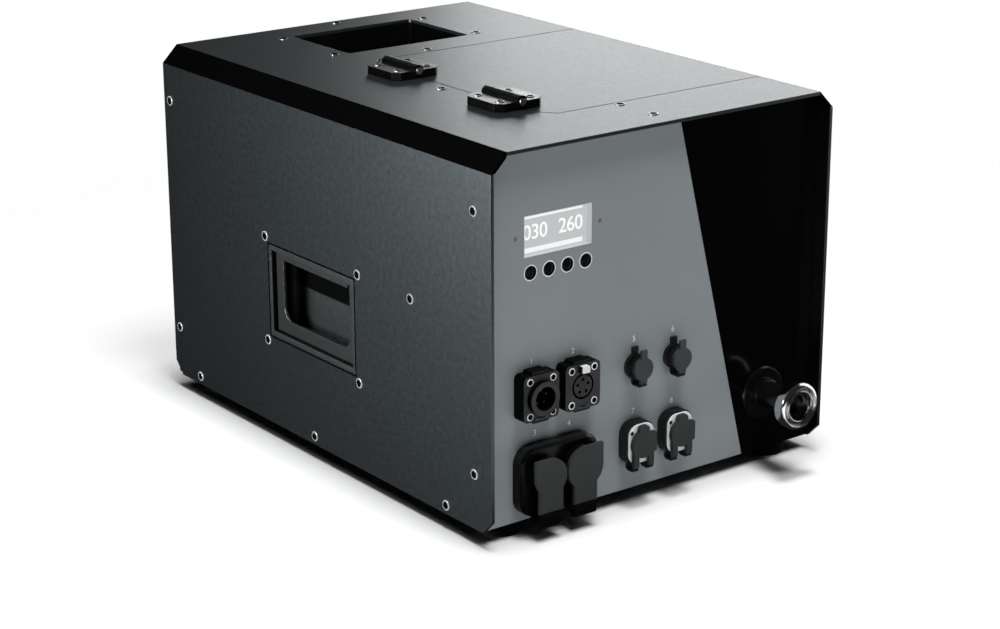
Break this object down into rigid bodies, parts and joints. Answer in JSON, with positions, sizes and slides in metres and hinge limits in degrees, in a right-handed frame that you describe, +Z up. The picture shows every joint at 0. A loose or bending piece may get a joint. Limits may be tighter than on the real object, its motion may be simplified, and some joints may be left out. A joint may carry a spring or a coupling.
{
  "type": "stage flame machine",
  "caption": "Sheet metal stage flame unit with a flame well in the roof, hinged service lid, recessed handles, display panel, capped sockets and a fuel coupling.",
  "frame": {"origin": "on the floor under the middle of the whole object, fittings at the front included", "axes": "+X to the right seen from the front, +Y from the front panel to the back, +Z up"},
  "size_m": [0.3, 0.442, 0.282],
  "materials": {
    "grey_sheet": "fine textured grey powder coat",
    "black_sheet": "satin black paint",
    "black_plastic": "moulded black with a light grain",
    "cover_rubber": "soft matt moulding",
    "foot_rubber": "matt",
    "hose_rubber": "fuel hose, satin",
    "bright_steel": "machined",
    "chrome": "polished",
    "brass": "turned",
    "ceramic": "glazed",
    "circuit_board": "solder mask",
    "clear_window": "clear, flat",
    "tank_metal": "brushed"
  },
  "bodies": {
    "machine": {"left_side_panel": "grey_sheet", "right_side_panel": "grey_sheet", "top_plate": "grey_sheet", "front_panel": "grey_sheet", "back_panel": "grey_sheet", "left_handle_cup": "grey_sheet", "left_grip_plate": "grey_sheet", "right_handle_cup": "grey_sheet", "right_grip_plate": "grey_sheet", "left_edge_rail": "black_sheet", "right_edge_rail": "black_sheet", "bottom_plate": "black_sheet", "flame_well": "black_sheet", "coupling_body": "black_sheet", "pump_motor": "black_sheet", "rear_hinge_fixed_leaf": "black_plastic", "front_hinge_fixed_leaf": "black_plastic", "data_in_socket": "black_plastic", "data_out_socket": "black_plastic", "mains_socket": "black_plastic", "arm_in_socket": "black_plastic", "arm_out_socket": "black_plastic", "trigger_in_socket": "black_plastic", "trigger_out_socket": "black_plastic", "ignition_transformer": "black_plastic", "front_left_foot": "foot_rubber", "front_right_foot": "foot_rubber", "back_left_foot": "foot_rubber", "back_right_foot": "foot_rubber", "suction_hose": "hose_rubber", "pressure_hose": "hose_rubber", "fill_hose": "hose_rubber", "rear_hinge_pin": "bright_steel", "front_hinge_pin": "bright_steel", "solenoid_valve": "bright_steel", "power_supply": "bright_steel", "flame_nozzle": "brass", "pump_head": "brass", "igniter": "ceramic", "display_unit": "circuit_board", "main_board": "circuit_board", "display_window": "clear_window", "fuel_tank": "tank_metal"},
    "lid": {"service_lid": "grey_sheet", "rear_hinge_lid_leaf": "black_plastic", "front_hinge_lid_leaf": "black_plastic"},
    "filler_cap": {"tank_cap": "black_plastic"},
    "menu_button_1": {"button_1": "black_plastic"},
    "menu_button_2": {"button_2": "black_plastic"},
    "menu_button_3": {"button_3": "black_plastic"},
    "menu_button_4": {"button_4": "black_plastic"},
    "plug_latch": {"data_out_latch": "chrome"},
    "mains_in_flap": {"mains_in_cover": "cover_rubber"},
    "mains_out_flap": {"mains_out_cover": "cover_rubber"},
    "arm_in_flap": {"arm_in_cover": "cover_rubber"},
    "arm_out_flap": {"arm_out_cover": "cover_rubber"},
    "trigger_in_flap": {"trigger_in_cap": "cover_rubber"},
    "trigger_out_flap": {"trigger_out_cap": "cover_rubber"},
    "release_sleeve": {"coupling_sleeve": "chrome"},
    "check_poppet": {"coupling_poppet": "bright_steel"}
  },
  "joints": [
    {"name": "lid_hinge", "type": "hinge", "parent": "machine", "child": "lid", "pos_m": [-0.06, -0.0276, 0.2776], "axis": [0, -1, 0], "range_deg": [0, 105]},
    {"name": "filler_cap_turn", "type": "hinge", "parent": "machine", "child": "filler_cap", "pos_m": [0.036, -0.02345, 0.19], "axis": [0, 0, 1], "range_deg": [0, 90]},
    {"name": "menu_button_1_press", "type": "slide", "parent": "machine", "child": "menu_button_1", "axis": [0, 1, 0], "range_m": [0, 0.0012], "stiffness_N_per_m": 300, "springref_m": -0.002},
    {"name": "menu_button_2_press", "type": "slide", "parent": "machine", "child": "menu_button_2", "axis": [0, 1, 0], "range_m": [0, 0.0012], "stiffness_N_per_m": 300, "springref_m": -0.002},
    {"name": "menu_button_3_press", "type": "slide", "parent": "machine", "child": "menu_button_3", "axis": [0, 1, 0], "range_m": [0, 0.0012], "stiffness_N_per_m": 300, "springref_m": -0.002},
    {"name": "menu_button_4_press", "type": "slide", "parent": "machine", "child": "menu_button_4", "axis": [0, 1, 0], "range_m": [0, 0.0012], "stiffness_N_per_m": 300, "springref_m": -0.002},
    {"name": "plug_latch_press", "type": "slide", "parent": "machine", "child": "plug_latch", "axis": [0, 1, 0], "range_m": [0, 0.0015], "stiffness_N_per_m": 400, "springref_m": -0.002},
    {"name": "mains_in_flap_hinge", "type": "hinge", "parent": "machine", "child": "mains_in_flap", "pos_m": [-0.1052, -0.19795, 0.0216], "axis": [1, 0, 0], "range_deg": [0, 100]},
    {"name": "mains_out_flap_hinge", "type": "hinge", "parent": "machine", "child": "mains_out_flap", "pos_m": [-0.076, -0.19795, 0.0216], "axis": [1, 0, 0], "range_deg": [0, 100]},
    {"name": "arm_in_flap_hinge", "type": "hinge", "parent": "machine", "child": "arm_in_flap", "pos_m": [-0.0195, -0.19205, 0.0314], "axis": [1, 0, 0], "range_deg": [0, 110]},
    {"name": "arm_out_flap_hinge", "type": "hinge", "parent": "machine", "child": "arm_out_flap", "pos_m": [0.0155, -0.19205, 0.0314], "axis": [1, 0, 0], "range_deg": [0, 110]},
    {"name": "trigger_in_flap_hinge", "type": "hinge", "parent": "machine", "child": "trigger_in_flap", "pos_m": [-0.0195, -0.19075, 0.0916], "axis": [1, 0, 0], "range_deg": [0, 110]},
    {"name": "trigger_out_flap_hinge", "type": "hinge", "parent": "machine", "child": "trigger_out_flap", "pos_m": [0.0155, -0.19075, 0.0916], "axis": [1, 0, 0], "range_deg": [0, 110]},
    {"name": "release_sleeve_slide", "type": "slide", "parent": "machine", "child": "release_sleeve", "axis": [0, 1, 0], "range_m": [0, 0.004], "stiffness_N_per_m": 1500, "springref_m": -0.003},
    {"name": "check_poppet_slide", "type": "slide", "parent": "machine", "child": "check_poppet", "axis": [0, 1, 0], "range_m": [0, 0.0045], "stiffness_N_per_m": 500, "springref_m": -0.003}
  ]
}
